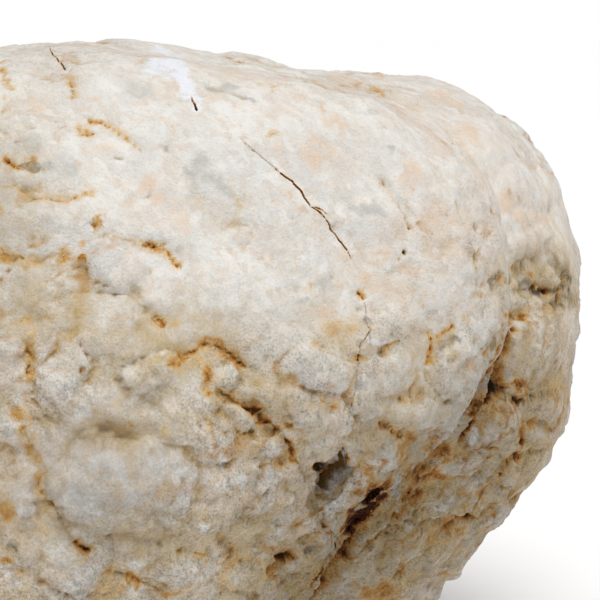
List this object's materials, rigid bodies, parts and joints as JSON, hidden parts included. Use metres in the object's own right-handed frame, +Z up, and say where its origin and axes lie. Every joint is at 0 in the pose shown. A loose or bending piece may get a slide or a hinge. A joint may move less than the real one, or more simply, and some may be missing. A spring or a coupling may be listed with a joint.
{
  "type": "calcite geode",
  "caption": "Whole, uncut calcite geode: a rounded nodule of pale cream stone with a cracked, stained crust and an overhanging rim, lying loose on a flat resting face.",
  "frame": {"origin": "under the middle of the stone's bounding box, on the surface it rests on", "axes": "+X along the stone's length, to the right in the picture; +Y from its broad front face to its back; +Z up"},
  "size_m": [0.1442, 0.1202, 0.1111],
  "materials": {
    "crust": "matt, rough calcite crust, off-white to cream with ochre and brown stains in its cracks"
  },
  "bodies": {
    "root": {"geode": "crust"}
  },
  "joints": []
}
